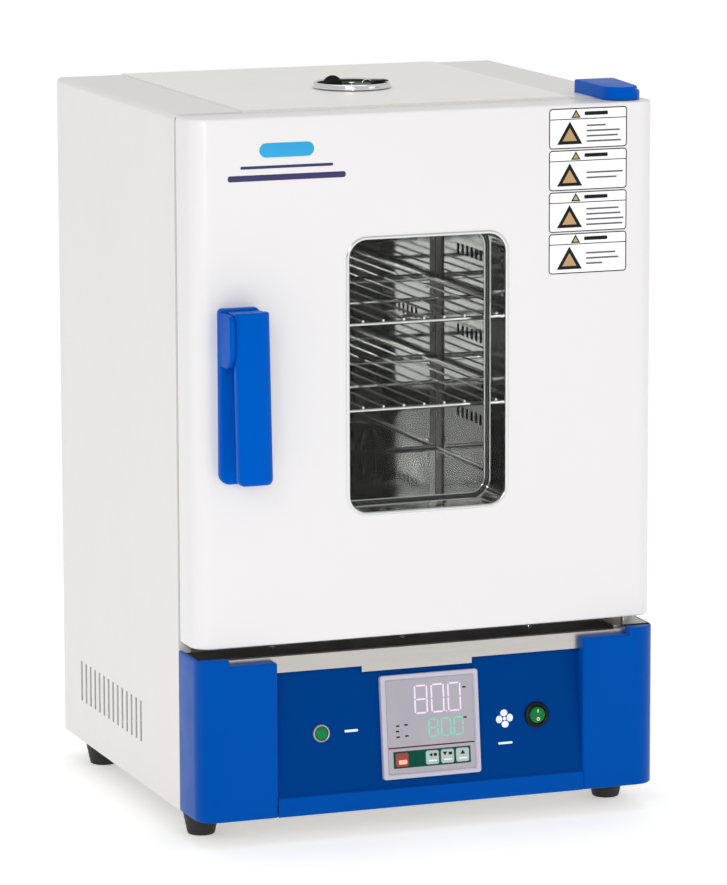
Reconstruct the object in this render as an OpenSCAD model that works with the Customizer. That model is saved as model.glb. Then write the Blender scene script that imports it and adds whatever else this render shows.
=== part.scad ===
// Bench-top forced-air drying oven: a steel cabinet on a blue control base, with a glazed
// swing door, a fan-blown stainless chamber with three wire shelves and a vent on top.
//
// x is to the right, y to the rear, z up. Everything is laid out from the cabinet's front
// face (y = 0) and its underside (z = 0); place() then stands it on z = 0, centred in x and y.

/* [Cabinet] */
// Width of the cabinet, the door and the base
cab_w = 450; // [446:2:460]
// Depth of the cabinet behind the door
cab_d = 355; // [355:5:380]
// Height of the cabinet above its underside
cab_h = 640; // [640:2:660]
// Height of the rubber feet
foot_h = 25; // [15:1:35]
// Thickness of the painted outer sheet
skin = 1.2; // [1.0:0.1:1.5]

/* [Control base] */
// Height of the base, up to the top of the sill under the door
base_h = 147; // [144:1:148]
// How far the base stands out in front of the cabinet
base_out = 60; // [60:1:64]
// Half width of the recessed control panel
panel_hw = 150; // [145:1:152]
// Side of the square temperature controller's bezel
meter = 96; // [90:1:96]

/* [Door] */
// Front face of the door, in front of the cabinet
door_front = 49; // [48:1:50]
// Gap between the cabinet and the back of the door, filled by the gasket
door_gap = 5; // [5:0.5:6]
// Radius of the rolled vertical edges at the front of the door
door_r = 18; // [14:1:20]
// Lower edge of the door
door_z0 = 158.5; // [158:0.5:160]
// Width of the window opening, across its steel rim
win_w = 158; // [140:2:170]
// Height of the window opening, across its steel rim
win_h = 256; // [230:2:270]

/* [Chamber] */
// Half width between the slotted side ducts
room_hw = 138; // [134:1:140]
// Depth from the front frame to the rear baffle
room_d = 283; // [278:1:284]
// Height of the chamber floor
room_z0 = 268; // [266:1:270]
// Height of the chamber ceiling
room_z1 = 593; // [590:1:596]
// Height of the lowest shelf
shelf_z0 = 358; // [350:1:362]
// Distance between shelves
shelf_step = 80; // [76:1:82]
// Distance between the wires of a shelf
wire_step = 20; // [16:1:24]

/* [Handle] */
// Height of the handle's base
handle_h = 159.5; // [150:0.5:165]
// Width of the handle's base
handle_w = 38; // [38:1:42]
// How far the grip stands out from the door
grip_out = 40; // [38:1:44]

/* [Hidden] */
$fn = 64;

hw = cab_w / 2;
eps = 0.01;

// Colours
pearl = [0.91, 0.9, 0.88];
white = [0.94, 0.93, 0.93];
blue = [0.03, 0.36, 0.8];
deep_blue = [0.02, 0.3, 0.66];
steel = [0.72, 0.72, 0.7];
bright = [0.82, 0.83, 0.83];
dark = [0.12, 0.12, 0.12];

// Cabinet shell
fold_r = 5;             // rounded fold along the top edges
return_w = 12;          // front edge of the shell, folded inwards
seam_x = 160;           // seams between the side panels and the raised top panel
top_rise = 1.2;
slot_n = 14;            // louvre slots low in each side
slot_y0 = 114;
slot_step = 14.2;
slot_w = 5;
slot_z = [40, 79];
rear_slot_n = 12;

// Sill, front frame and bright strip above the controls
frame_t = 1.5;
sill_t = 1.5;
strip_x = [-194, 200];
strip_y = 49;
strip_drop = 14.5;
strip_t = 1;
drip_x = [-65, 43];
drip_drop = 5.5;

// Liner around the chamber and its air ducts
sheet = 1;
liner_hw = 160;
liner_z0 = 200;
liner_y1 = 318;
duct_rows = [314, 394, 473];
duct_slot = [6.5, 10.5];
duct_n = 15;
duct_y0 = 58;
duct_step = 11.8;

// Fan, low in the rear wall
fan_z = 250;
fan_r = 43;
fan_y = [292, 308];
fan_blades = 10;
shaft_r = 4;
shaft_y1 = 345;
motor_r = 34;
motor_y1 = 350;
cowl_hw = 80;
cowl_top = 300;
cowl_depth = 13;
cowl_r = 28;

// Shelves and the ladders that carry them
rod_r = 2;
wire_r = 1.1;
shelf_hw = 131;
shelf_y = [14, 272];
ladder_y = [30, 267];
post_w = 15;
post_t = 1.5;
ledge_w = 8.5;

// Vent on the roof
vent_y = 148;
vent_r = 18;
ring_r = 36.5;
rim_w = 3.5;
rim_h = 4.8;
vent_pin_r = 3;
run_gap = 0.05;         // radial clearance of every pin in its bore

// Door
door_z1 = cab_h - 0.6;
hinge_x = 206;
hinge_y = -24;
hinge_pin_r = 3;
back_r = 16;            // rear edge on the hinge side, rounded to clear the frame
rear_return = 12;
win_z = 400;
rim = 3.2;
sleeve_t = 1.2;
win_r = 20;
glass_t = 4;
gasket_w = 10;
gasket_free = 0.3;

// Latch behind the handle
latch_x = -192;
latch_z = 395;

// Handle
handle_x = -202;        // left side of the handle
handle_z = 310.5;       // lower end of the handle's base
handle_plate = 8;
cheek_w = 5;
cheek_h = 60;
cheek_r = 15;
grip_t = 14;
grip_z = [313.5, 469];
grip_lean = 3;          // the grip leans out towards its free lower end
grip_gap = 0.4;
grip_pin_r = 2.5;
grip_pin = [-70, 457];  // y and z of the grip's pin

// Hinge cover
cover_w = 43;
cover_r = 18;
cover_back = 47;
cover_h = 12;

// Base mouldings
wall = 2.5;
block_z = 144;          // top of the corner blocks
horn_x = 196;           // outer part of each block, a little taller
horn_z = 150;
corner_r = 20;
panel_t = 2;
panel_top = [-45, 134]; // y and z along the recessed panel's face
panel_low = [-58, 18];
panel_tilt = atan((panel_top[0] - panel_low[0]) / (panel_top[1] - panel_low[1]));

// Controls, in the panel's own plane
ctl_z = -2.5;
bezel_t = 5;
key_w = 13;
key_z = -30.4;
key_x = [-29.6, 0.2, 15.1, 30];
lamp_x = -106;
lamp_r = 8.5;
switch_x = 106.5;
switch_r = 12;
rocker_r = 7.6;
rocker_rest = 7;

// Feet and cable gland
foot_x = 202;
foot_y = [8, 305];
foot_r = [12.5, 17];
gland_x = 160;
gland_z = 60;
gland_bore = 4.2;
gland_out = 20;

// Foremost edge: the lower end of the grip, which leans out
grip_y = -door_front - grip_out;
front_y = grip_pin[0] + (grip_y - grip_pin[0]) * cos(grip_lean) - (grip_pin[1] - grip_z[0]) * sin(grip_lean);

// The oven stands on z = 0 with the middle of its box at x = y = 0
mid_y = (cab_d + gland_out + front_y) / 2;
module place() translate([0, -mid_y, foot_h]) children();

// ---------- helpers ----------

// Box between two corners
module block(a, b) translate(a) cube(b - a);

// Outline in x and z, extruded from y0 to y1
module along_y(y0, y1) translate([0, y1, 0]) rotate([90, 0, 0]) linear_extrude(y1 - y0) children();

// Outline in y and z, extruded from x0 to x1
module along_x(x0, x1) translate([x0, 0, 0]) rotate([90, 0, 90]) linear_extrude(x1 - x0) children();

// Round bar along y or x
module bar_y(r, y0, y1) translate([0, y1, 0]) rotate([90, 0, 0]) cylinder(r = r, h = y1 - y0);
module bar_x(r, x0, x1) translate([x0, 0, 0]) rotate([0, 90, 0]) cylinder(r = r, h = x1 - x0);

// Rounded rectangle about the origin
module round_rect(w, h, r) {
    square([w - 2 * r, h], center = true);
    square([w, h - 2 * r], center = true);
    for (sx = [-1, 1], sz = [-1, 1]) translate([sx * (w / 2 - r), sz * (h / 2 - r)]) circle(r);
}

// Rectangle whose (x0, y0) corner alone is rounded
module corner_plan(x0, x1, y0, y1, r) {
    translate([x0 + r, y0]) square([x1 - x0 - r, y1 - y0]);
    translate([x0, y0 + r]) square([x1 - x0, y1 - y0 - r]);
    translate([x0 + r, y0 + r]) circle(r);
}

// Frame of the recessed panel: x right, y into the oven, z up along the panel
module on_panel() translate([0, (panel_top[0] + panel_low[0]) / 2, (panel_top[1] + panel_low[1]) / 2])
    rotate([-panel_tilt, 0, 0]) children();

// ---------- cabinet ----------

// Side sheet with its top flange; the fold between them is rounded
module side_profile() {
    translate([-hw, 0]) square([skin, cab_h - fold_r]);
    translate([-hw + fold_r, cab_h - skin]) square([hw - seam_x - fold_r, skin]);
    translate([-hw + fold_r, cab_h - fold_r]) intersection() {
        difference() {
            circle(fold_r);
            circle(fold_r - skin);
        }
        translate([-fold_r, 0]) square(fold_r);
    }
}

module side_sheet() {
    difference() {
        union() {
            along_y(0, cab_d) side_profile();
            block([-hw + eps, 0, frame_t + 0.05], [-hw + return_w, skin, cab_h - fold_r]);
            block([-hw + fold_r, 0, cab_h - return_w], [-seam_x, skin, cab_h - eps]);
        }
        for (i = [0 : slot_n - 1])
            block([-hw - 1, slot_y0 + i * slot_step - slot_w / 2, slot_z[0]],
                  [-hw + skin + 1, slot_y0 + i * slot_step + slot_w / 2, slot_z[1]]);
    }
}

module side_panel_left() color(pearl) place() side_sheet();
module side_panel_right() color(pearl) place() mirror([1, 0, 0]) side_sheet();

module top_panel() color(pearl) place() difference() {
    union() {
        block([-seam_x, 0, cab_h], [seam_x, cab_d, cab_h + top_rise]);
        block([-seam_x, 0, cab_h - return_w], [seam_x, skin, cab_h]);
    }
    translate([0, vent_y, cab_h - 1]) cylinder(r = vent_r + 2.2, h = 5);
}

module rear_panel() color(pearl) place() difference() {
    block([-hw + skin, cab_d - skin, 2], [hw - skin, cab_d, cab_h - skin]);
    for (i = [0 : rear_slot_n - 1], z = [40, 560])
        block([-100 + i * slot_step, cab_d - 5, z], [-100 + i * slot_step + slot_w, cab_d + 5, z + 39]);
    translate([gland_x, 0, gland_z]) bar_y(8.2, cab_d - 5, cab_d + 5);
}

module base_pan() color(steel) place() {
    inset = wall + 0.5;
    for (m = [0, 1]) mirror([m, 0, 0]) linear_extrude(frame_t)
        corner_plan(-hw + inset, 1, -base_out + inset, cab_d - skin, corner_r - inset);
}

module sill_plate() color(dark) place()
    block([-hw + wall + 3, -strip_y + strip_t, base_h - sill_t], [hw - wall - 3, 0, base_h]);

module front_frame() color(steel) place() difference() {
    block([-hw + return_w + 0.2, 0, base_h - 4], [hw - return_w - 0.2, frame_t, cab_h - return_w - 0.2]);
    translate([0, 0, (room_z0 + room_z1) / 2]) along_y(-1, frame_t + 1)
        round_rect(2 * room_hw, room_z1 - room_z0, 8);
    block([latch_x - 15, -1, latch_z - 18], [latch_x + 15, frame_t + 1, latch_z + 18]);
}

// Bright strip along the front of the sill, with a short drip tab above the controller
module front_strip() color(bright) place() {
    block([strip_x[0], -strip_y, base_h - strip_drop], [strip_x[1], -strip_y + strip_t, base_h + 0.6]);
    block([strip_x[0], -strip_y, base_h], [strip_x[1], -strip_y + 6, base_h + 0.6]);
    block([drip_x[0], -strip_y, base_h - strip_drop - drip_drop],
          [drip_x[1], -strip_y + strip_t, base_h - strip_drop]);
}

module insulation() color([0.8, 0.76, 0.6]) place() difference() {
    block([-hw + skin + 0.3, frame_t + 0.2, base_h + 2],
          [hw - skin - 0.3, cab_d - skin - 2, cab_h - return_w]);
    block([-liner_hw - sheet, 0, liner_z0 - sheet], [liner_hw + sheet, liner_y1 + sheet, room_z1 + sheet]);
    translate([0, 0, fan_z]) bar_y(motor_r + 8, liner_y1, cab_d + 1);
    translate([0, vent_y, room_z1]) cylinder(r = vent_r + 2.2, h = 60);
    block([latch_x - 17, 0, latch_z - 20], [latch_x + 17, 16, latch_z + 20]);
}

// ---------- chamber ----------

module liner() color(steel) place() difference() {
    block([-liner_hw - sheet, frame_t, liner_z0 - sheet],
          [liner_hw + sheet, liner_y1 + sheet, room_z1 + sheet]);
    block([-liner_hw, 0, liner_z0], [liner_hw, liner_y1, room_z1]);
    translate([0, vent_y, room_z1 - 1]) cylinder(r = vent_r, h = 4);
    translate([0, 0, fan_z]) bar_y(shaft_r + 3, liner_y1 - 1, liner_y1 + 3);
}

// Slotted wall between the chamber and a side duct
module duct_panel() difference() {
    block([-room_hw - sheet, frame_t + 1.5, liner_z0 + 0.2], [-room_hw, room_d - 0.2, room_z1 - 0.2]);
    for (z = duct_rows, i = [0 : duct_n - 1])
        block([-room_hw - 3, duct_y0 + i * duct_step, z - duct_slot[1] / 2],
              [-room_hw + 2, duct_y0 + i * duct_step + duct_slot[0], z + duct_slot[1] / 2]);
}

module duct_panel_left() color(steel) place() duct_panel();
module duct_panel_right() color(steel) place() mirror([1, 0, 0]) duct_panel();

module rear_baffle() color(steel) place() difference() {
    block([-room_hw - sheet, room_d, room_z0], [room_hw + sheet, room_d + sheet, room_z1 - 0.2]);
    block([-cowl_hw + 20, room_d - 1, room_z0 - 1], [cowl_hw - 20, room_d + 3, cowl_top - 10]);
}

// Arched grille over the fan's air intake
module cowl_outline(inset) {
    translate([-cowl_hw + inset, room_z0]) square([2 * (cowl_hw - inset), cowl_top - cowl_r - room_z0]);
    translate([-cowl_hw + cowl_r, room_z0])
        square([2 * (cowl_hw - cowl_r), cowl_top - inset - room_z0]);
    for (s = [-1, 1]) translate([s * (cowl_hw - cowl_r), cowl_top - cowl_r]) intersection() {
        circle(cowl_r - inset);
        translate([-cowl_r, 0]) square(2 * cowl_r);
    }
}

module fan_cowl() color([0.3, 0.3, 0.3]) place() difference() {
    along_y(room_d - cowl_depth, room_d) cowl_outline(0);
    along_y(room_d - cowl_depth + sheet, room_d + 1) translate([0, -1]) cowl_outline(sheet);
    for (i = [-6 : 6])
        block([i * 11 - 3, room_d - cowl_depth - 1, room_z0 + 6], [i * 11 + 3, room_d - 8, cowl_top - 8]);
}

// Removable floor over the heaters, with its front edge folded down
module floor_plate() color(steel) place() {
    block([-room_hw, frame_t + 2, room_z0 - sheet], [room_hw, room_d, room_z0]);
    block([-room_hw, frame_t + 2, room_z0 - 22], [room_hw, frame_t + 2 + sheet, room_z0]);
}

module shelf_ladder() {
    for (y = ladder_y) block([-room_hw, y, room_z0], [-room_hw + post_t, y + post_w, room_z1 - 1]);
    for (i = [0 : 2], z = [shelf_z0 + i * shelf_step])
        block([-room_hw + post_t - eps, shelf_y[0] + 2, z - rod_r - 1.5],
              [-room_hw + post_t + ledge_w, shelf_y[1] + 3, z - rod_r]);
}

module shelf_ladder_left() color(steel) place() shelf_ladder();
module shelf_ladder_right() color(steel) place() mirror([1, 0, 0]) shelf_ladder();

// Wire shelf: a rod frame with thin wires from front to back, welded on top
module shelf(i) color(bright) place() translate([0, 0, shelf_z0 + i * shelf_step]) {
    for (y = [shelf_y[0], (shelf_y[0] + shelf_y[1]) / 2, shelf_y[1]])
        translate([0, y, 0]) bar_x(rod_r, -shelf_hw - rod_r - 1, shelf_hw + rod_r + 1);
    for (s = [-1, 1]) translate([s * shelf_hw, 0, 0]) bar_y(rod_r - 0.2, shelf_y[0], shelf_y[1]);
    for (k = [-6 : 6]) translate([k * wire_step, 0, rod_r + wire_r - 0.3])
        bar_y(wire_r, shelf_y[0] - 2, shelf_y[1] + 2);
}

module shelf_bottom() shelf(0);
module shelf_middle() shelf(1);
module shelf_top() shelf(2);

// Two hairpin elements under the floor plate
module heater() color([0.35, 0.33, 0.3]) place() for (y = [85, 190]) translate([0, y, 232]) {
    for (s = [-1, 1]) translate([0, s * 28, 0]) {
        bar_x(4, -130, 100);
        bar_x(8, -136, -130);
    }
    translate([100, 0, 0]) rotate([0, 0, -90]) rotate_extrude(angle = 180) translate([28, 0]) circle(4);
}

module fan_impeller() color([0.6, 0.6, 0.62]) place() translate([0, 0, fan_z]) {
    bar_y(fan_r, fan_y[1] - 1.5, fan_y[1]);
    difference() {
        bar_y(fan_r, fan_y[0], fan_y[0] + 1.5);
        bar_y(fan_r - 12, fan_y[0] - 1, fan_y[0] + 3);
    }
    bar_y(10, fan_y[0] + 5, fan_y[1]);
    bar_y(shaft_r, fan_y[0] + 3, shaft_y1);
    for (i = [0 : fan_blades - 1]) rotate([0, i * 360 / fan_blades, 0])
        translate([fan_r - 11, 0, 0]) rotate([0, 35, 0])
            block([-10, fan_y[0] + 1, -0.7], [9, fan_y[1] - 1, 0.7]);
}

module fan_motor() color([0.55, 0.55, 0.55]) place() translate([0, 0, fan_z]) difference() {
    union() {
        bar_y(motor_r + 6, liner_y1 + sheet, liner_y1 + sheet + 3);
        bar_y(motor_r, liner_y1 + sheet + 2, motor_y1);
    }
    bar_y(shaft_r + run_gap, liner_y1, motor_y1 - 3);
}

module temperature_probe() color(bright) place() translate([-room_hw + 18, 0, room_z1 - 11]) {
    bar_y(2.5, 190, room_d);
    bar_y(6, room_d - 6, room_d);
}

// ---------- vent ----------

// Chrome ring on the roof with the tube down to the chamber and a spider for the damper's pin
module vent_ring() color(bright) place() translate([0, vent_y, 0]) {
    difference() {
        translate([0, 0, room_z1 + sheet]) cylinder(r = vent_r + 2, h = cab_h + top_rise - room_z1);
        translate([0, 0, room_z1]) cylinder(r = vent_r, h = 80);
    }
    difference() {
        translate([0, 0, cab_h + top_rise]) cylinder(r = ring_r, h = rim_h);
        translate([0, 0, cab_h + top_rise - 1]) cylinder(r = vent_r, h = 20);
        translate([0, 0, cab_h + top_rise + 1.2]) cylinder(r = ring_r - rim_w, h = 20);
    }
    block([-vent_r - 1, -3, cab_h - 2], [vent_r + 1, 3, cab_h + top_rise + 1.2]);
    translate([0, 0, cab_h - 2]) cylinder(r = vent_pin_r, h = top_rise + 8);
}

// Turning disc over the vent, with a half-moon finger tab, a knob and one air hole
module vent_damper() color(dark) place() translate([0, vent_y, cab_h + top_rise + 1.5]) {
    difference() {
        cylinder(r = ring_r - rim_w - 0.5, h = 1.5);
        translate([0, 0, -1]) cylinder(r = vent_pin_r + run_gap, h = 4);
        translate([0, 12, -1]) cylinder(r = 6.5, h = 4);
    }
    translate([-15, -4, 1.5 - eps]) along_y(-0.75, 0.75) intersection() {
        circle(10);
        translate([-10, 0]) square([20, 10]);
    }
    block([16, -7, 1.5 - eps], [29, 5, 6]);
}

// ---------- door ----------

// Plan of the door, drawn in by inset on every side
module door_plan(inset) {
    x0 = -hw + inset;
    x1 = hw - inset;
    y0 = -door_front + inset;
    y1 = -door_gap - inset;
    rf = door_r - inset;
    rb = back_r - inset;
    translate([x0 + rf, y0]) square([x1 - x0 - 2 * rf, y1 - y0]);
    translate([x0, y0 + rf]) square([x1 - x0 - rb, y1 - y0 - rf]);
    translate([x0, y0 + rf]) square([x1 - x0, y1 - y0 - rf - rb]);
    for (x = [x0 + rf, x1 - rf]) translate([x, y0 + rf]) circle(rf);
    translate([x1 - rb, y1 - rb]) circle(rb);
}

module window_hole(w, h, r, y0, y1) translate([0, 0, win_z]) along_y(y0, y1) round_rect(w, h, r);

hole_w = win_w - 2 * rim + 2 * sleeve_t;
hole_h = win_h - 2 * rim + 2 * sleeve_t;

module door_shell() color(white) place() difference() {
    translate([0, 0, door_z0]) linear_extrude(door_z1 - door_z0) door_plan(0);
    translate([0, 0, door_z0 + skin]) linear_extrude(door_z1 - door_z0 - 2 * skin) door_plan(skin);
    block([-hw + rear_return, -door_gap - skin - 1, door_z0 + rear_return],
          [hw - back_r - rear_return, 1, door_z1 - rear_return]);
    window_hole(hole_w + 0.4, hole_h + 0.4, win_r - 1.8, -door_front - 1, -door_front + 3);
    for (z = [door_z0 - 1, door_z1 - 3]) translate([hinge_x, hinge_y, z]) cylinder(r = 5.2, h = 4);
}

module door_core() color([0.8, 0.76, 0.6]) place() difference() {
    translate([0, 0, door_z0 + skin + 0.3]) linear_extrude(door_z1 - door_z0 - 2 * skin - 0.6)
        door_plan(skin + 0.3);
    block([-hw, -door_gap - skin - 0.3, 0], [hw, 1, cab_h]);
    window_hole(hole_w + 1, hole_h + 1, win_r - 1.5, -door_front - 1, 1);
    block([latch_x - 13, -42, latch_z - 21], [latch_x + 13, 1, latch_z + 21]);
    for (z = [door_z0 - 1, door_z1 - 21]) translate([hinge_x, hinge_y, z]) cylinder(r = 5.5, h = 22);
}

module door_inner_panel() color(steel) place() difference() {
    block([-hw + rear_return + 0.3, -door_gap - skin, door_z0 + rear_return + 0.3],
          [hw - back_r - rear_return - 0.3, -door_gap, door_z1 - rear_return - 0.3]);
    window_hole(hole_w + 0.4, hole_h + 0.4, win_r - 1.8, -20, 1);
    block([latch_x - 7, -20, latch_z - 11], [latch_x + 13, 1, latch_z + 11]);
}

// Polished sleeve through the door, with its rim standing proud of the front
module window_sleeve() color(bright) place() difference() {
    union() {
        window_hole(win_w, win_h, win_r, -door_front - 1, -door_front);
        window_hole(hole_w, hole_h, win_r - 2, -door_front - 0.5, -door_gap);
    }
    window_hole(hole_w - 2 * sleeve_t, hole_h - 2 * sleeve_t, win_r - 3.2, -door_front - 2, 1);
}

// Frame screwed over the inner glass on the chamber side
module window_frame() color(bright) place() difference() {
    window_hole(hole_w + 22, hole_h + 22, win_r, -door_gap, -door_gap + 1.2);
    window_hole(hole_w - 9, hole_h - 9, win_r - 6, -door_gap - 1, 0);
}

module glass_pane(y0) color([0.8, 0.9, 0.88, 0.35]) place()
    window_hole(hole_w - 2 * sleeve_t - 0.4, hole_h - 2 * sleeve_t - 0.4, win_r - 3.4, y0, y0 + glass_t);

module glass_outer() glass_pane(-door_front + 6);
module glass_inner() glass_pane(-door_gap - glass_t - 0.2);

gasket_hw = room_hw + 16;
gasket_z = [room_z0 - 16, room_z1 + 16];

module door_gasket() color([0.75, 0.74, 0.72]) place()
    translate([0, 0, (gasket_z[0] + gasket_z[1]) / 2]) along_y(-door_gap, -gasket_free) difference() {
        round_rect(2 * gasket_hw, gasket_z[1] - gasket_z[0], 14);
        round_rect(2 * (gasket_hw - gasket_w), gasket_z[1] - gasket_z[0] - 2 * gasket_w, 6);
    }

module latch_housing() color(dark) place() translate([latch_x, 0, latch_z]) difference() {
    block([-12, -41, -20], [12, -door_gap - skin - 0.2, 20]);
    block([-5, -32, -10], [10.5, 1, 10]);
}

// Bolt with a tapered nose that reaches into the keeper
module latch_bolt() color(steel) place() translate([latch_x, 0, latch_z - 9]) linear_extrude(18)
    polygon([[-4, -31], [4, -31], [4, 7], [1, 7], [-4, 2]]);

module latch_keeper() color(steel) place() translate([latch_x, 0, latch_z]) difference() {
    block([-14.8, 0, -17.8], [14.8, 13, 17.8]);
    block([-12.5, -1, -16.5], [13.5, 12, 16.5]);
}

// ---------- handle ----------

handle_cx = handle_x + handle_w / 2;
handle_z1 = handle_z + handle_h;
lug_x = [-186, -178];
lug_z = [447, 462.5];     // low enough to clear the grip's head at full pull

// Back plate with a cheek on the left, a hidden lug and the pin the grip swings on
module handle_base() color(blue) place() difference() {
    union() {
        translate([handle_cx, 0, handle_z + handle_h / 2]) along_y(-door_front - handle_plate, -door_front)
            round_rect(handle_w, handle_h, 6);
        along_x(handle_x, handle_x + cheek_w) difference() {
            translate([-door_front - grip_out + 4, handle_z1 - cheek_h]) square([grip_out - 6, cheek_h - 3]);
            translate([-door_front - grip_out + 3, handle_z1 - cheek_h - 1]) difference() {
                square(cheek_r + 1);
                translate([cheek_r + 1, cheek_r + 1]) circle(cheek_r);
            }
        }
        block([lug_x[0], -76, lug_z[0]], [lug_x[1], -door_front - 2, lug_z[1]]);
        translate([0, grip_pin[0], grip_pin[1]]) bar_x(grip_pin_r, handle_x + 1, handle_x + handle_w - 2);
    }
    for (z = [340, 440]) translate([handle_cx, 0, z]) bar_y(1.6, -door_front - 6, -door_front + 1);
}

grip_x = [handle_x + cheek_w + grip_gap, handle_x + handle_w];

// Turns about the grip's pin
module about_pin(angle) translate([0, grip_pin[0], grip_pin[1]]) rotate([angle, 0, 0])
    translate([0, -grip_pin[0], -grip_pin[1]]) children();

// Grip: a bar in front, and a head that reaches back over the pin
module handle_grip() color(blue) place() difference() {
    union() {
        about_pin(-grip_lean) translate([(grip_x[0] + grip_x[1]) / 2, 0, (grip_z[0] + grip_z[1]) / 2])
            along_y(grip_y, grip_y + grip_t) round_rect(grip_x[1] - grip_x[0], grip_z[1] - grip_z[0], 5);
        block([grip_x[0], grip_y + grip_t - 2, 442], [grip_x[1], -61, grip_z[1] - 0.6]);
    }
    block([lug_x[0] - 0.5, -80, 430], [lug_x[1] + 0.5, -50, 467.5]);
    translate([0, grip_pin[0], grip_pin[1]])
        bar_x(grip_pin_r + run_gap, grip_x[0] - 1, handle_x + handle_w - 1.5);
}

// ---------- hinges ----------

module door_bushing(flange) difference() {
    union() {
        cylinder(r = 5, h = 18);
        translate([0, 0, -flange]) cylinder(r = 6.5, h = flange);
    }
    translate([0, 0, -2]) cylinder(r = hinge_pin_r + run_gap, h = 19);
}

module at_hinge(z) translate([hinge_x, hinge_y, z]) children();

module door_bushing_bottom() color(bright) place() at_hinge(door_z0) door_bushing(1.1);
module door_bushing_top() color(bright) place() at_hinge(door_z1) mirror([0, 0, 1]) door_bushing(0.3);

module hinge_plate_bottom() color(steel) place() {
    block([188, -42, base_h], [222, -0.5, base_h + 3]);
    at_hinge(base_h + 2) cylinder(r = hinge_pin_r, h = door_z0 + 14 - base_h - 2);
}

module hinge_plate_top() color(steel) place() {
    block([188, -33, cab_h], [212, 40, cab_h + 3]);
    at_hinge(door_z1 - 15) cylinder(r = hinge_pin_r, h = cab_h + 2 - door_z1 + 15);
}

// Round nose on the left, its right side widening towards the rear
module cover_plan(inset) {
    x0 = hw - cover_w;
    y0 = hinge_y + 2;
    translate([x0 + cover_r, y0]) circle(cover_r - inset);
    polygon([[x0 + inset, y0], [x0 + 2 * cover_r - inset, y0],
             [hw - inset, cover_back - inset], [x0 + inset, cover_back - inset]]);
}

// Moulded cap over the upper hinge plate
module hinge_cover() color(blue) place() difference() {
    union() {
        translate([0, 0, cab_h]) linear_extrude(cover_h - 2) cover_plan(0);
        translate([0, 0, cab_h + 1]) linear_extrude(cover_h - 1) cover_plan(1.2);
    }
    block([187.7, -33.3, cab_h - 1], [212.3, 40.3, cab_h + 3.2]);
}

// ---------- control base ----------

// Corner block: a hollow moulding, its outer part standing a little higher
module corner_block() {
    back = -0.5;
    difference() {
        union() {
            linear_extrude(block_z) corner_plan(-hw, -panel_hw, -base_out, back, corner_r);
            linear_extrude(horn_z) corner_plan(-hw, -horn_x, -base_out, back, corner_r);
        }
        translate([0, 0, -1]) linear_extrude(block_z - wall + 1)
            corner_plan(-hw + wall, -panel_hw - wall, -base_out + wall, 5, corner_r - wall);
        translate([0, 0, -1]) linear_extrude(horn_z - wall + 1)
            corner_plan(-hw + wall, -horn_x - wall, -base_out + wall, 5, corner_r - wall);
        block([-hw + wall, -strip_y - 0.3, panel_top[1] - 0.5], [-panel_hw + 1, 5, horn_z + 1]);
        block([-panel_hw - wall - 0.1, -base_out + wall, -1], [-panel_hw + 1, 5, frame_t + 0.05]);
    }
}

module fascia_left() color(deep_blue) place() corner_block();
module fascia_right() color(deep_blue) place() mirror([1, 0, 0]) corner_block();

// Bent sheet: a flush band at the foot, then the sloping face and a flange under the strip
module panel_profile() polygon([
    [-base_out, 0], [-base_out, panel_low[1] - 1], panel_low, panel_top, [-20, panel_top[1]],
    [-20, panel_top[1] - panel_t], [panel_top[0] + panel_t, panel_top[1] - panel_t],
    [panel_low[0] + panel_t, panel_low[1] - 1], [-base_out + panel_t, panel_low[1] - 2.5],
    [-base_out + panel_t, 0]
]);

module control_panel() color(deep_blue) place() difference() {
    along_x(-panel_hw + 0.1, panel_hw - 0.1) panel_profile();
    on_panel() {
        translate([0, 0, ctl_z]) cube([meter - 5, 20, meter - 5], center = true);
        translate([lamp_x, 0, ctl_z]) bar_y(6.7, -10, 10);
        translate([switch_x, 0, ctl_z]) bar_y(10.8, -10, 10);
    }
}

// Panel meter body with its square bezel; the bezel has a ledge for the face
module controller_case() color([0.72, 0.71, 0.77]) place() on_panel() translate([0, 0, ctl_z]) difference() {
    union() {
        along_y(-bezel_t, 0) round_rect(meter, meter, 2.5);
        block([-meter / 2 + 3, -1, -meter / 2 + 3], [meter / 2 - 3, 70, meter / 2 - 3]);
    }
    block([-meter / 2 + 5, 4, -meter / 2 + 5], [meter / 2 - 5, 68, meter / 2 - 5]);
    along_y(-bezel_t - 1, -2.6) round_rect(meter - 10, meter - 9, 1.5);
    block([-38, -3, key_z - 8], [38, -0.4, key_z + 8]);
}

module controller_face() color([0.66, 0.65, 0.68]) place() on_panel() translate([0, 0, ctl_z]) difference() {
    along_y(-4.2, -2.6) round_rect(meter - 10.4, meter - 9.4, 1.3);
    for (x = key_x) translate([x, 0, key_z]) along_y(-6, 0) round_rect(key_w + 0.5, key_w + 0.5, 2.2);
}

module key(i) place() on_panel() translate([key_x[i], 0, ctl_z + key_z])
    along_y(-4.8, -1.4) round_rect(key_w, key_w, 2);

module key_set() color([0.62, 0.25, 0.2]) key(0);
module key_left() color([0.75, 0.82, 0.8]) key(1);
module key_down() color([0.75, 0.82, 0.8]) key(2);
module key_up() color([0.75, 0.82, 0.8]) key(3);

module run_lamp() color([0.3, 0.6, 0.4]) place() on_panel() translate([lamp_x, 0, ctl_z]) {
    bar_y(lamp_r, -2.5, 0);
    bar_y(6.5, -3.5, 25);
}

module switch_bezel() color(dark) place() on_panel() translate([switch_x, 0, ctl_z]) difference() {
    union() {
        bar_y(switch_r, -3, 0);
        bar_y(10.5, -1, 22);
    }
    bar_y(rocker_r + 0.8, -4, 8);
    translate([0, -0.5, 0]) bar_x(1.25, -9.6, 9.6);
}

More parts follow.
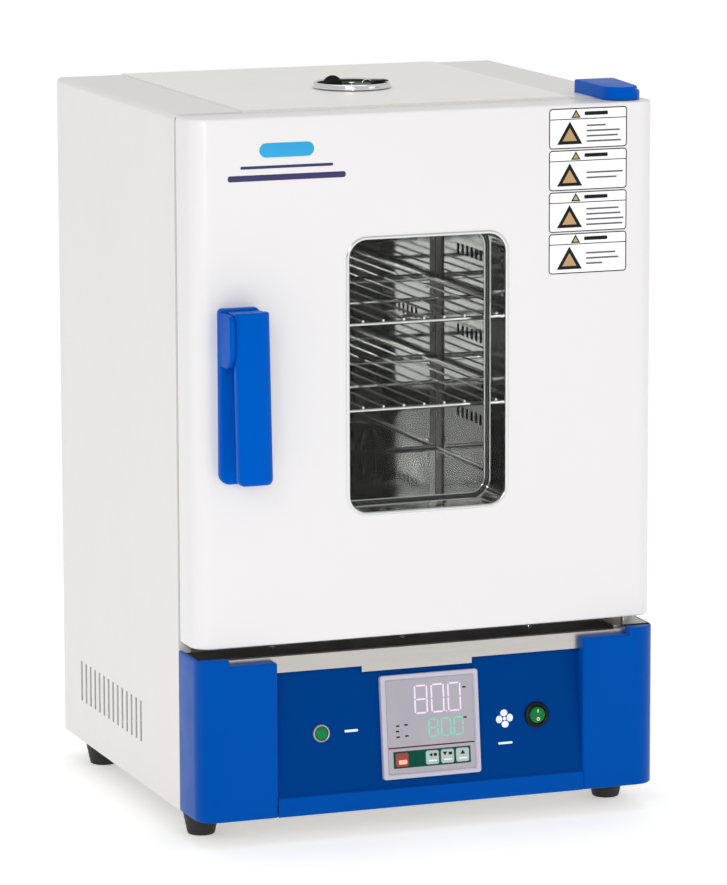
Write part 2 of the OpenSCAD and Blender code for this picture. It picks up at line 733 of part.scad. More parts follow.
module switch_rocker() color([0.1, 0.45, 0.2]) place() on_panel() translate([switch_x, -0.5, ctl_z])
    rotate([rocker_rest, 0, 0]) {
        bar_y(rocker_r, -3, 3);
        bar_x(1.2, -9.3, 9.3);
    }

// ---------- feet and rear ----------

module feet(y) color([0.13, 0.13, 0.12]) place() for (s = [-1, 1]) translate([s * foot_x, y, -foot_h]) {
    cylinder(r1 = foot_r[0], r2 = foot_r[1], h = foot_h - 4);
    translate([0, 0, foot_h - 4]) cylinder(r = foot_r[1] + 1, h = 4);
}

module feet_front() feet(foot_y[0]);
module feet_rear() feet(foot_y[1]);

// Strain-relief gland for the mains lead
module cable_gland() color(dark) place() translate([gland_x, cab_d, gland_z]) difference() {
    union() {
        bar_y(8, -10, 1);
        translate([0, 6, 0]) rotate([90, 0, 0]) cylinder(r = 12, h = 6, $fn = 6);
        bar_y(9, 5, gland_out);
    }
    bar_y(gland_bore, -11, gland_out + 1);
}

side_panel_left();
side_panel_right();
top_panel();
rear_panel();
base_pan();
sill_plate();
front_frame();
front_strip();
insulation();
liner();
duct_panel_left();
duct_panel_right();
rear_baffle();
fan_cowl();
floor_plate();
shelf_ladder_left();
shelf_ladder_right();
shelf_bottom();
shelf_middle();
shelf_top();
heater();
fan_impeller();
fan_motor();
temperature_probe();
vent_ring();
vent_damper();
door_shell();
door_core();
door_inner_panel();
window_sleeve();
window_frame();
glass_outer();
glass_inner();
door_gasket();
latch_housing();
latch_bolt();
latch_keeper();
handle_base();
handle_grip();
door_bushing_top();
door_bushing_bottom();
hinge_plate_top();
hinge_plate_bottom();
hinge_cover();
fascia_left();
fascia_right();
control_panel();
controller_case();
controller_face();
key_set();
key_left();
key_down();
key_up();
run_lamp();
switch_bezel();
switch_rocker();
feet_front();
feet_rear();
cable_gland();
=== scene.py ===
"""Looks of the bench-top drying oven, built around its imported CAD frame.

Lengths are millimetres in the cabinet's own layout, x right, y rear, z up, with y = 0 at the
cabinet's front face and z = 0 at its underside. ORIGIN carries them into the row frame.
"""

import math

import bmesh
import bpy
from mathutils import Matrix, Vector


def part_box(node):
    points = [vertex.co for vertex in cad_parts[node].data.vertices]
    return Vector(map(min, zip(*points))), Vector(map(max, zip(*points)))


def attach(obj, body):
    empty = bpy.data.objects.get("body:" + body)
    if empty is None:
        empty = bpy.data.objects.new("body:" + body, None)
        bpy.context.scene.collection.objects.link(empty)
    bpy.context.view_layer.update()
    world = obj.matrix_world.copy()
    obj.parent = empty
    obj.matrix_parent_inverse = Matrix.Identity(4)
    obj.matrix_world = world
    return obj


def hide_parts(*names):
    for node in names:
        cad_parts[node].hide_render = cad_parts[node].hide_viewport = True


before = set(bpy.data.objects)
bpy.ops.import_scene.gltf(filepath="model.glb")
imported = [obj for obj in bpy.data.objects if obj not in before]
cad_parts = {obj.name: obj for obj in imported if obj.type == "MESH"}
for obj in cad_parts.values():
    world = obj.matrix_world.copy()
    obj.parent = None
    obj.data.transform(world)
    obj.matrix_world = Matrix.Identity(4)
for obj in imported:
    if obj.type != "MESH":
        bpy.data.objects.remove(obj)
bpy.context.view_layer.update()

MM = 0.001
QUARTER = math.pi / 2
TURN = 2 * math.pi
TINY = 0.02
cabinet_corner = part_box("side_panel_left")[0]
ORIGIN = Vector((0, cabinet_corner.y, cabinet_corner.z))


def cad(node):
    """Lowest and highest corner of a CAD node, in the cabinet's layout."""
    low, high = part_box(node)
    return (low - ORIGIN) / MM, (high - ORIGIN) / MM


# ---------- places: (u, v, w) on a face, w standing out of it, to (x, y, z) ----------


def up(u, v, w):
    return Vector((u, v, w))


def front(u, v, w):
    return Vector((u, -w, v))


def rear(u, v, w):
    return Vector((-u, w, v))


def side(u, v, w):
    return Vector((w, u, v))


PANEL_AT = (-51.5, 76)              # y and z of the middle of the sloping control panel
PANEL_TILT = math.atan2(13, 116)    # it leans back 13 mm over its 116 mm height
CONTROLS_V = -2.5                   # height of the row of controls on it


def panel(u, v, w):
    c, s = math.cos(PANEL_TILT), math.sin(PANEL_TILT)
    return Vector((u, PANEL_AT[0] - w * c + v * s, PANEL_AT[1] + w * s + v * c))


def controls(u, v, w):
    return panel(u, v + CONTROLS_V, w)


def turned(place, centre, angle):
    """place, with (v, w) first turned about the centre, which tips a face up or down."""
    c, s = math.cos(angle), math.sin(angle)

    def moved(u, v, w):
        dv, dw = v - centre[0], w - centre[1]
        return place(u, centre[0] + dv * c - dw * s, centre[1] + dv * s + dw * c)

    return moved


# ---------- outlines and closed shells ----------


def rect(x0, x1, y0, y1, radii, inset=0.0, steps=6):
    """Rectangle drawn in by inset, a radius for each corner, anticlockwise from (x0, y0)."""
    corners = [(x0, y0, 1, 1, 180), (x1, y0, -1, 1, 270), (x1, y1, -1, -1, 0), (x0, y1, 1, -1, 90)]
    points = []
    for (x, y, sx, sy, start), radius in zip(corners, radii):
        centre = max(radius, inset + TINY)
        r = centre - inset
        for k in range(steps + 1):
            a = math.radians(start + 90 * k / steps)
            points.append((x + sx * centre + r * math.cos(a), y + sy * centre + r * math.sin(a)))
    return points


def plate(cx, cy, w, h, r, steps=6):
    """Outline function of a rounded rectangle about a centre."""
    radii = r if isinstance(r, tuple) else (r,) * 4
    return lambda inset=0.0: rect(cx - w / 2, cx + w / 2, cy - h / 2, cy + h / 2, radii, inset,
                                  steps)


def around(count):
    """Cosine and sine of angles spread evenly right round a circle."""
    return [(math.cos(TURN * k / count), math.sin(TURN * k / count)) for k in range(count)]


def ellipse(cx, cy, rx, ry, count=40):
    """Outline function of an ellipse about a centre."""
    return lambda inset=0.0: [(cx + (rx - inset) * c, cy + (ry - inset) * s) for c, s in around(count)]


def polygon(points):
    """Outline function of a convex polygon that shrinks towards its middle."""
    cx = sum(p[0] for p in points) / len(points)
    cy = sum(p[1] for p in points) / len(points)
    size = min(math.hypot(x - cx, y - cy) for x, y in points)
    return lambda inset=0.0: [(x + (cx - x) * inset / size, y + (cy - y) * inset / size)
                              for x, y in points]


def loft(rings, place=up, closed=False):
    """Shell through rings of equally many points, capped unless the last ring meets the first."""
    points = [place(*p) for ring in rings for p in ring]
    n = len(rings[0])
    faces = []
    for i in range(len(rings) - (0 if closed else 1)):
        a, b = i * n, (i + 1) % len(rings) * n
        faces += [(a + k, a + (k + 1) % n, b + (k + 1) % n, b + k) for k in range(n)]
    if not closed:
        faces += [tuple(reversed(range(n))), tuple(range(len(points) - n, len(points)))]
    return points, faces


def prism(outline, w0, w1, low=0.0, high=0.0, place=up, steps=4):
    """The outline carried from w0 to w1, with its two rims rounded."""
    levels = []
    for k in range(steps + 1 if low else 1):
        a = QUARTER * k / steps if low else QUARTER
        levels.append((low * (1 - math.sin(a)), w0 + low * (1 - math.cos(a))))
    for k in range(steps + 1 if high else 1):
        a = QUARTER * k / steps if high else 0
        levels.append((high * (1 - math.cos(a)), w1 - high * (1 - math.sin(a))))
    return loft([[(u, v, w) for u, v in outline(i)] for i, w in levels], place)


def box(x0, x1, y0, y1, z0, z1, r=0.0):
    """Upright box in x, y and z, its edges rounded by r."""
    return prism(lambda i=0.0: rect(x0, x1, y0, y1, (r,) * 4, i, 3), z0, z1, r, r, up, 3)


def collar(outline, profile, place=up):
    """A closed profile of (inset, w) carried round an outline."""
    return loft([[(u, v, w) for u, v in outline(i)] for i, w in profile], place, closed=True)


def lathe(profile, centre=(0, 0), place=up, count=48, closed=False):
    """A profile of (radius, w) turned about an axis; open ones start and end on the axis."""
    rings = [[(centre[0] + r * c, centre[1] + r * s, w) for c, s in around(count)] for r, w in profile]
    return loft(rings, place, closed)


def rod(r, w0, w1, centre=(0, 0), place=up, count=48):
    """Plain round bar from w0 to w1."""
    return lathe([(TINY, w0), (r, w0), (r, w1), (TINY, w1)], centre, place, count)


def wire(path, r, place=up, count=10):
    """Round wire along a path of (u, v, w)."""
    line = [Vector(p) for p in path]
    normal = Vector((0.31, 0.62, 0.72))
    rings = []
    for i, p in enumerate(line):
        along = (line[min(i + 1, len(line) - 1)] - line[max(i - 1, 0)]).normalized()
        normal = (normal - along * normal.dot(along)).normalized()
        other = along.cross(normal)
        rings.append([p + (normal * c + other * s) * r for c, s in around(count)])
    return loft([[tuple(p) for p in ring] for ring in rings], place)


# ---------- objects ----------


def mesh_object(name, shells):
    """One object from closed shells, in the row frame."""
    points, faces = [], []
    for shell_points, shell_faces in shells:
        start = len(points)
        points += [ORIGIN + p * MM for p in shell_points]
        faces += [tuple(start + k for k in f) for f in shell_faces]
    mesh = bpy.data.meshes.new(name)
    mesh.from_pydata(points, [], faces)
    bm = bmesh.new()
    bm.from_mesh(mesh)
    bmesh.ops.remove_doubles(bm, verts=bm.verts, dist=1e-6)
    bmesh.ops.dissolve_degenerate(bm, edges=bm.edges, dist=1e-6)
    bmesh.ops.recalc_face_normals(bm, faces=bm.faces)
    bm.to_mesh(mesh)
    bm.free()
    obj = bpy.data.objects.new(name, mesh)
    bpy.context.scene.collection.objects.link(obj)
    return obj


def combine(obj, operation, shells):
    """Cuts the shells out of the object, or joins them to it, one after the other."""
    for shell in shells:
        tool = mesh_object(obj.name + "_tool", [shell])
        step = obj.modifiers.new("step", "BOOLEAN")
        step.operation = operation
        step.solver = "EXACT"
        step.object = tool
        made = bpy.data.meshes.new_from_object(obj.evaluated_get(bpy.context.evaluated_depsgraph_get()))
        obj.modifiers.clear()
        obj.data = made
        bpy.data.objects.remove(tool)
    return obj


def piece(name, shells, body, look, replaces=(), cut=(), fuse=(), sharp=38):
    """Shells with solids fused on and cut out, smoothed, painted and riding on their body."""
    obj = mesh_object(name, shells)
    combine(obj, "UNION", fuse)
    combine(obj, "DIFFERENCE", cut)
    obj.data.shade_smooth()
    obj.data.set_sharp_from_angle(angle=math.radians(sharp))
    obj.data.materials.clear()
    obj.data.materials.append(LOOKS[look])
    obj.data.name = name
    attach(obj, body)
    if replaces:
        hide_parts(*replaces)
    return obj


# ---------- materials ----------


class Look:
    """Principled material whose colour, roughness and relief come from noise in object space."""

    def __init__(self, name):
        self.material = bpy.data.materials.new("look_" + name)
        self.material.use_nodes = True
        self.nodes = self.material.node_tree.nodes
        self.links = self.material.node_tree.links
        self.shader = self.nodes["Principled BSDF"]
        self.place = self.nodes.new("ShaderNodeTexCoord").outputs["Object"]

    def noise(self, scale, stretch=(1, 1, 1), detail=4):
        """Noise with features of about 1 / scale metres, longer along axes with a small stretch."""
        mapping = self.nodes.new("ShaderNodeMapping")
        mapping.inputs["Scale"].default_value = stretch
        self.links.new(self.place, mapping.inputs["Vector"])
        texture = self.nodes.new("ShaderNodeTexNoise")
        texture.inputs["Scale"].default_value = scale
        texture.inputs["Detail"].default_value = detail
        self.links.new(mapping.outputs["Vector"], texture.inputs["Vector"])
        return texture.outputs["Fac"]

    def ramp(self, factor, low, high, start=0.35, end=0.65):
        ramp = self.nodes.new("ShaderNodeValToRGB")
        for element, position, colour in zip(ramp.color_ramp.elements, (start, end), (low, high)):
            element.position = position
            element.color = (*colour, 1)
        self.links.new(factor, ramp.inputs["Fac"])
        return ramp.outputs["Color"]

    def spread(self, factor, low, high):
        node = self.nodes.new("ShaderNodeMapRange")
        node.inputs["From Min"].default_value = 0.3
        node.inputs["From Max"].default_value = 0.7
        node.inputs["To Min"].default_value = low
        node.inputs["To Max"].default_value = high
        self.links.new(factor, node.inputs["Value"])
        return node.outputs["Result"]

    def relief(self, height, depth_mm, strength=1.0):
        bump = self.nodes.new("ShaderNodeBump")
        bump.inputs["Strength"].default_value = strength
        bump.inputs["Distance"].default_value = depth_mm * MM
        self.links.new(height, bump.inputs["Height"])
        self.links.new(bump.outputs["Normal"], self.shader.inputs["Normal"])


def linear(colour):
    """Linear light from display values of 0 to 255."""
    return tuple((c / 255 / 12.92) if c < 10.3 else ((c / 255 + 0.055) / 1.055) ** 2.4 for c in colour)


def shaded(colour, factor):
    return tuple(min(1.0, c * factor) for c in colour)


def finish(name, colour, rough, metallic=0.0, tint=0.03, tint_scale=9, tint_stretch=(1, 1, 1),
           rough_spread=0.04, relief=0.01, relief_scale=600, relief_stretch=(1, 1, 1), sockets=()):
    """Base colour that drifts by tint, roughness that drifts, and a fine relief in mm."""
    look = Look(name)
    base = linear(colour)
    drift = look.noise(tint_scale, tint_stretch, 5)
    painted = look.ramp(drift, shaded(base, 1 - tint), shaded(base, 1 + tint))
    look.links.new(painted, look.shader.inputs["Base Color"])
    wander = look.noise(tint_scale * 5, relief_stretch, 6)
    worn = look.spread(wander, rough - rough_spread, rough + rough_spread)
    look.links.new(worn, look.shader.inputs["Roughness"])
    look.shader.inputs["Metallic"].default_value = metallic
    look.relief(look.noise(relief_scale, relief_stretch, 3), relief)
    for socket, value in sockets:
        look.shader.inputs[socket].default_value = value
    return look.material


def glass_look():
    """Thin clear pane: see-through, with a mirror share that grows towards grazing angles."""
    look = Look("clear_glass")
    clear = look.nodes.new("ShaderNodeBsdfTransparent")
    clear.inputs["Color"].default_value = (0.985, 0.988, 0.986, 1)
    gloss = look.nodes.new("ShaderNodeBsdfGlossy")
    gloss.inputs["Roughness"].default_value = 0.02
    fresnel = look.nodes.new("ShaderNodeFresnel")
    fresnel.inputs["IOR"].default_value = 1.16
    mix = look.nodes.new("ShaderNodeMixShader")
    look.links.new(fresnel.outputs["Fac"], mix.inputs["Fac"])
    look.links.new(clear.outputs["BSDF"], mix.inputs[1])
    look.links.new(gloss.outputs["BSDF"], mix.inputs[2])
    look.links.new(mix.outputs["Shader"], look.nodes["Material Output"].inputs["Surface"])
    look.nodes.remove(look.shader)
    return look.material


def shaded_panel_look():
    """Blue sheet whose sloping face is painted darker than the flush band along its foot, as painted
    shade.
    """
    look = Look("panel_blue_painted_shade")
    axes = look.nodes.new("ShaderNodeSeparateXYZ")
    look.links.new(look.place, axes.inputs["Vector"])
    height = look.nodes.new("ShaderNodeMapRange")
    band_top = ORIGIN.z + BAND_TOP * MM
    height.inputs["From Min"].default_value = band_top
    height.inputs["From Max"].default_value = band_top + BAND_FADE * MM
    look.links.new(axes.outputs["Z"], height.inputs["Value"])
    # lighter blue on the flush foot band, and a darker blue painted as shade on the sloping face above it
    colour = look.ramp(height.outputs["Result"], linear(BLUE_PAINT), linear(PANEL_SHADE_BLUE), 0, 1)
    mottle = look.ramp(look.noise(12), (0.95, 0.95, 0.95), (1, 1, 1))
    mix = look.nodes.new("ShaderNodeMix")
    mix.data_type = "RGBA"
    mix.blend_type = "MULTIPLY"
    mix.inputs["Factor"].default_value = 1
    look.links.new(colour, mix.inputs["A"])
    look.links.new(mottle, mix.inputs["B"])
    look.links.new(mix.outputs["Result"], look.shader.inputs["Base Color"])
    look.links.new(look.spread(look.noise(60), 0.33, 0.4), look.shader.inputs["Roughness"])
    for socket, value in BLUE_GLOSS:
        look.shader.inputs[socket].default_value = value
    look.relief(look.noise(500, detail=3), 0.012)
    return look.material


def lit(name, colour, glow):
    """Display or lens that gives off a little light of its own; on the set key's print this glow is
    painted light.
    """
    return finish(name, colour, 0.3, tint=0.05, tint_scale=300,
                  sockets=(("Emission Color", (*linear(colour), 1)), ("Emission Strength", glow),
                           specular(0.2)))


def specular(level):
    return "Specular IOR Level", level


def coat(weight, rough):
    return ("Coat Weight", weight), ("Coat Roughness", rough)


BLUE_SHINE = ("Specular Tint", (0.0, 0.3, 1.0, 1.0))
BLUE_GLOSS = (specular(0.2), BLUE_SHINE)
BLUE_PAINT = (2, 76, 166)
# darker blue of the sloping control panel face: painted shade
PANEL_SHADE_BLUE = (0, 58, 130)
BAND_TOP, BAND_FADE = 17.2, 1.2     # height of the band along the panel's foot, and its edge; above it the painted shade of the sloping face begins
BRUSHED = {"metallic": 1.0, "tint": 0.06, "tint_scale": 30, "tint_stretch": (0.06, 1, 1),
           "relief": 0.01, "relief_scale": 900, "relief_stretch": (0.02, 1, 1)}
PAINTED = {"tint": 0.006, "relief": 0.006, "relief_scale": 220}
LOOKS = {
    "cabinet_paint": finish("cabinet_paint", (228, 224, 220), 0.36, sockets=coat(0.25, 0.25), **PAINTED),
    # the top panel's paint is lighter than the cabinet paint: painted light falling from above
    "top_paint_painted_light": finish("top_paint_painted_light", (240, 237, 232), 0.4, sockets=(specular(0.25),), **PAINTED),
    "door_paint": finish("door_paint", (230, 228, 228), 0.3, tint=0.002, rough_spread=0.01, relief=0.001,
                         relief_scale=220, sockets=coat(0.3, 0.18)),
    "blue_paint": finish("blue_paint", BLUE_PAINT, 0.36, tint=0.03, relief=0.02, relief_scale=420,
                         sockets=BLUE_GLOSS),
    "panel_blue_painted_shade": shaded_panel_look(),
    "blue_plastic": finish("blue_plastic", (0, 86, 186), 0.36, tint=0.02, relief=0.015, relief_scale=900,
                           sockets=(specular(0.09), BLUE_SHINE)),
    "mirror_steel": finish("mirror_steel", (196, 196, 194), 0.045, 1.0, tint=0.06, tint_scale=6,
                           rough_spread=0.015, relief=0.05, relief_scale=7),
    # shelf ladders made dark steel: painted shade inside the chamber
    "rack_steel_painted_shade": finish("rack_steel_painted_shade", (62, 60, 57), 0.3, 1.0, tint=0.1, tint_scale=30, relief=0.01),
    "polished_rim": finish("polished_rim", (218, 219, 218), 0.09, 1.0, relief=0.02, relief_scale=60),
    "brushed_steel": finish("brushed_steel", (190, 187, 180), 0.3, **BRUSHED),
    "wire_steel": finish("wire_steel", (238, 238, 235), 0.2, 1.0, relief=0.02, relief_scale=250),
    "strip_steel": finish("strip_steel", (188, 184, 179), 0.26, **BRUSHED),
    "chrome": finish("chrome", (226, 227, 228), 0.06, 1.0, relief=0.01, relief_scale=90),
    # dark steel of the sill deck, darkened further to near black as painted shade in the gap under the
    # door
    "dark_steel": finish("dark_steel", (34, 30, 29), 0.4, 0.2, tint=0.2, relief=0.02, relief_scale=300,
                         sockets=(specular(0.2),)),
    "heater_alloy": finish("heater_alloy", (122, 112, 102), 0.45, 1.0, tint=0.25, tint_scale=40,
                           relief=0.03),
    "cast_alloy": finish("cast_alloy", (176, 177, 178), 0.42, 1.0, tint=0.08, tint_scale=60,
                         relief=0.05),
    "clear_glass": glass_look(),
    "silicone": finish("silicone", (206, 203, 196), 0.6, tint=0.04, relief=0.04, relief_scale=700),
    "black_rubber": finish("black_rubber", (24, 24, 23), 0.62, tint=0.15, tint_scale=50, relief=0.06),
    "black_plastic": finish("black_plastic", (14, 14, 16), 0.36, tint=0.1, tint_scale=60, relief=0.03,
                            relief_scale=1500, sockets=(specular(0.22),)),
    "wool": finish("wool", (214, 200, 150), 0.95, tint=0.2, tint_scale=120, tint_stretch=(0.3, 1, 0.3),
                   relief=1.0, relief_scale=300, relief_stretch=(0.3, 1, 0.3)),
    "meter_plastic": finish("meter_plastic", (192, 188, 202), 0.42, tint=0.02, relief=0.02,
                            relief_scale=1400),
    "meter_face": finish("meter_face", (168, 163, 172), 0.2, tint=0.03, tint_scale=25, relief=0.008,
                         relief_scale=1200, sockets=coat(0.5, 0.08)),
    "key_red": finish("key_red", (150, 62, 52), 0.34, tint=0.06, relief=0.01),
    # print on the set key given a glow of its own: painted light
    "key_red_mark_painted_glow": lit("key_red_mark_painted_glow", (250, 176, 150), 0.25),
    "key_grey": finish("key_grey", (172, 190, 186), 0.34, tint=0.03, relief=0.01),
    "lamp_lens": lit("lamp_lens", (8, 116, 62), 0.1),
    "rocker_green": lit("rocker_green", (3, 106, 46), 0.12),
    "print_white": finish("print_white", (236, 242, 250), 0.4, tint=0.02),
    "print_black": finish("print_black", (16, 14, 16), 0.5, tint=0.1, tint_scale=200,
                          sockets=(specular(0.2),)),
    "print_grey": finish("print_grey", (84, 84, 90), 0.45, tint=0.1, tint_scale=200),
    "print_green": finish("print_green", (0, 74, 60), 0.4, tint=0.05, sockets=(specular(0.1),)),
    "print_brown": finish("print_brown", (92, 36, 40), 0.4, tint=0.05, sockets=(specular(0.15),)),
    "print_amber": finish("print_amber", (182, 148, 98), 0.45, tint=0.06),
    "print_cyan": finish("print_cyan", (24, 158, 214), 0.4, tint=0.03),
    "print_navy": finish("print_navy", (38, 34, 92), 0.4, tint=0.04),
    "label_white": finish("label_white", (247, 247, 248), 0.35, tint=0.008),
    "digit_white": lit("digit_white", (226, 208, 226), 0.22),
    "digit_mint": lit("digit_mint", (118, 204, 170), 0.15),
}

# CAD nodes whose look differs from their slot's; the control panel, top panel and shelf ladders get
# painted shade or painted light
NODE_LOOKS = {"control_panel": "panel_blue_painted_shade", "front_strip": "strip_steel", "top_panel": "top_paint_painted_light",
              "shelf_ladder_left": "rack_steel_painted_shade", "shelf_ladder_right": "rack_steel_painted_shade"}
for name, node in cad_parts.items():
    slot_name = node.data.materials[0].name
    node.data.materials[0] = LOOKS[NODE_LOOKS.get(name, slot_name)]
    node.data.set_sharp_from_angle(angle=math.radians(30))


# ---------- door ----------

door_low, door_high = cad("door_shell")
DOOR_FRONT = -door_low.y
SKIN = 1.2
HINGE = (206, -24)
BUSH_R = 5.2
WINDOW_W, WINDOW_H, WINDOW_Z, WINDOW_R = 158, 256, 400, 20
SLEEVE_IN = 1.8     # the rim covers the edge of the skin's opening by this much
window = plate(0, WINDOW_Z, WINDOW_W, WINDOW_H, WINDOW_R, 10)


def door_plan(inset=0.0):
    return rect(door_low.x, door_high.x, door_low.y, door_high.y, (18, 18, 16, 1.2), inset, 12)


def screws(spots, r=2.6, place=up, height=1.5):
    """Domed screw heads with a cross recess, one shell each, at (u, v, w)."""
    heads = []
    for u, v, w in spots:
        dome = [(TINY, w - 0.3), (r, w - 0.3), (r, w + 0.35 * height), (0.8 * r, w + 0.8 * height),
                (0.45 * r, w + height), (0.28 * r, w + height), (0.22 * r, w + 0.45 * height),
                (TINY, w + 0.4 * height)]
        heads.append(lathe(dome, (u, v), place, 20))
    return heads


piece("door_skin", [prism(door_plan, door_low.z, door_high.z, 2.2, 2.2, up, 5)], "door", "door_paint",
      replaces=["door_shell"],
      cut=[prism(lambda i=0.0: door_plan(i + SKIN), door_low.z + SKIN, door_high.z - SKIN, 1.2, 1.2,
                 up, 3),
           box(door_low.x + 12, door_high.x - 28, door_high.y - SKIN - 1, 2,
               door_low.z + 12, door_high.z - 12),
           prism(plate(0, WINDOW_Z, WINDOW_W - 2 * SLEEVE_IN, WINDOW_H - 2 * SLEEVE_IN,
                       WINDOW_R - SLEEVE_IN, 10), DOOR_FRONT - 3, DOOR_FRONT + 2, place=front),
           rod(BUSH_R, door_low.z - 2, door_low.z + 3, HINGE),
           rod(BUSH_R, door_high.z - 3, door_high.z + 2, HINGE)])

rim_profile = [(0.0, 49.0), (0.05, 49.5), (0.45, 49.9), (1.0, 50.0), (2.1, 50.0), (2.8, 49.75),
               (3.2, 49.2), (3.2, 47.5), (3.2, 5.1), (2.0, 5.1), (2.0, 49.0)]
piece("window_surround", [collar(window, rim_profile, front)], "door", "polished_rim",
      replaces=["window_sleeve"])

gasket_low, gasket_high = cad("door_gasket")
gasket = plate(0, (gasket_low.z + gasket_high.z) / 2, gasket_high.x - gasket_low.x,
               gasket_high.z - gasket_low.z, 14, 8)
bulb = [(0.6, 5.0), (0.6, 4.2), (0.1, 3.2), (0.1, 2.2), (0.9, 1.2), (2.6, 0.55), (5.0, 0.35), (7.4, 0.55),
        (9.1, 1.2), (9.9, 2.2), (9.9, 3.2), (9.4, 4.2), (9.4, 5.0)]
piece("door_seal", [collar(gasket, bulb, front)], "door", "silicone", replaces=["door_gasket"])

frame_back = cad("window_frame")[1].y
frame_spots = [(x, WINDOW_Z + z, 0) for x in (-82, 82) for z in (-110, -37, 37, 110)]
frame_spots += [(x, WINDOW_Z + z, 0) for x in (-45, 45) for z in (-131, 131)]
piece("window_frame_screws",
      screws(frame_spots, 2.2, lambda u, v, w: Vector((u, frame_back + w, v)), 0.7),
      "door", "wire_steel")

pane = -cad("glass_inner")[1].y
bead = [(3.5, pane - 0.05), (3.5, pane + 0.03), (5.3, pane + 0.03), (5.3, pane - 0.05)]
piece("glazing_bead", [collar(window, bead, front)], "door", "black_rubber")


def ink(outline, low=0.1, high=0.2):
    """Thin printed shape standing a little proud of the door."""
    return prism(outline, DOOR_FRONT + low, DOOR_FRONT + high, place=front)


# Blank stickers on the door, upper right
LABEL_X, LABEL_TOP, LABEL_W, LABEL_H, LABEL_PITCH = 118.4, 635.9, 77, 37, 38.3
HEADER = 10
bars_per_label = [(19, 33, 31, 34), (36, 30), (32, 34, 37, 36), (29, 32, 16)]
backs, inks, texts, ambers = [], [], [], []
for i, widths in enumerate(bars_per_label):
    left, top = LABEL_X, LABEL_TOP - i * LABEL_PITCH
    sticker = plate(left + LABEL_W / 2, top - LABEL_H / 2, LABEL_W, LABEL_H, 3)
    backs.append(ink(sticker, 0, 0.14))
    inks.append(collar(sticker, [(0, DOOR_FRONT + 0.1), (0, DOOR_FRONT + 0.2), (0.95, DOOR_FRONT + 0.2),
                                 (0.95, DOOR_FRONT + 0.1)], front))
    inks.append(ink(plate(left + LABEL_W / 2, top - HEADER, LABEL_W - 1, 0.8, 0.1)))
    for cx, base, w, h, border in ((26.5, 9.0, 9.4, 7.8, 2.2), (20.4, 33, 25, 21, 6.0)):
        outer = polygon([(left + cx - w / 2, top - base), (left + cx + w / 2, top - base),
                         (left + cx, top - base + h)])
        inks.append(ink(outer))
        ambers.append(ink(lambda inset=0.0, outer=outer, border=border: outer(border), 0.15, 0.25))
    inks.append(ink(plate(left + 46.5, top - 5.2, 23, 3.4, 0.8)))
    first = top - HEADER - 13.5 + 2.4 * (len(widths) - 1)
    for k, width in enumerate(widths):
        texts.append(ink(plate(left + 37 + width / 2, first - 4.8 * k, width, 1.5, 0.3)))
piece("sticker_backs", backs, "door", "label_white")
piece("sticker_lines", inks, "door", "print_black")
piece("sticker_bars", texts, "door", "print_grey")
piece("sticker_fills", ambers, "door", "print_amber")

# Plain two-tone badge, upper left
BADGE_X = -135


def badge(height, w, h, r):
    return prism(plate(BADGE_X, height, w, h, r), DOOR_FRONT, DOOR_FRONT + 0.25, 0, 0.1, front)


piece("badge_block", [badge(610, 52, 13, 6.5)], "door", "print_cyan")
piece("badge_bars", [badge(595, 88, 2.6, 1.2), badge(585.5, 112, 5.4, 2.2)], "door", "print_navy")


# ---------- handle ----------

base_low, base_high = cad("handle_base")
PIN_Y, PIN_Z = -70, 457
GRIP_FRONT, GRIP_T, GRIP_LEAN = 89, 14, math.radians(3)
LUG_X = (-186, -178)
grip_x = (base_low.x + 5.4, base_low.x + 38)
grip_z = (313.5, 469)


def pin(r, x0, x1):
    return rod(r, x0, x1, (PIN_Y, PIN_Z), side, 32)


piece("handle_mount",
      [prism(lambda i=0.0: rect(base_low.x, base_low.x + 38, base_low.z, base_high.z, (9, 9, 4, 4), i, 8),
             DOOR_FRONT, DOOR_FRONT + 8, 0, 2.6, front, 5)],
      "door", "blue_plastic", replaces=["handle_base"],
      fuse=[prism(lambda i=0.0: rect(-85, -51, 418.5, 467, (17, 1, 1, 8), i, 10),
                  base_low.x + 0.02, base_low.x + 5, 1.6, 1.2, side, 4),
            box(LUG_X[0], LUG_X[1], -76, -51, 447, 462.5, 1.0),
            pin(2.5, base_low.x + 1, base_low.x + 36)])

lean = turned(front, (PIN_Z, -PIN_Y), -GRIP_LEAN)
bar_rear = GRIP_FRONT - GRIP_T
BAR_CROWN = 4.0


def bar_section(inset=0.0, steps=8, across=12):
    """Cross-section of the grip, its front bulging between two rounded edges."""
    points = rect(grip_x[0], grip_x[1], bar_rear, GRIP_FRONT, (2.5, 2.5, 5, 5), inset, steps)
    last = 3 * (steps + 1)
    (u0, w0), (u1, w1) = points[last - 1], points[last]
    points[last:last] = [(u0 + (u1 - u0) * k / across, w0 + (w1 - w0) * k / across)
                         for k in range(1, across)]
    middle, half = (grip_x[0] + grip_x[1]) / 2, (grip_x[1] - grip_x[0]) / 2
    return [(u, w - BAR_CROWN * ((u - middle) / half) ** 2 * (w - bar_rear) / GRIP_T) for u, w in points]


piece("handle_bar",
      [prism(bar_section, grip_z[0], grip_z[1], 6, 2, lambda u, w, v: lean(u, v, w), 6)],
      "grip", "blue_plastic", replaces=["handle_grip"],
      fuse=[box(grip_x[0], grip_x[1], -GRIP_FRONT + GRIP_T - 4, -61, 442, grip_z[1] - 0.7, 1.8)],
      cut=[box(LUG_X[0] - 0.5, LUG_X[1] + 0.5, -80, -50, 430, 467.5),
           pin(2.55, grip_x[0] - 1, base_low.x + 36.5)])


# ---------- hinge cover ----------

cover_low, cover_high = cad("hinge_cover")
NOSE_R = 18
NOSE = (cover_low.x + NOSE_R, -22)


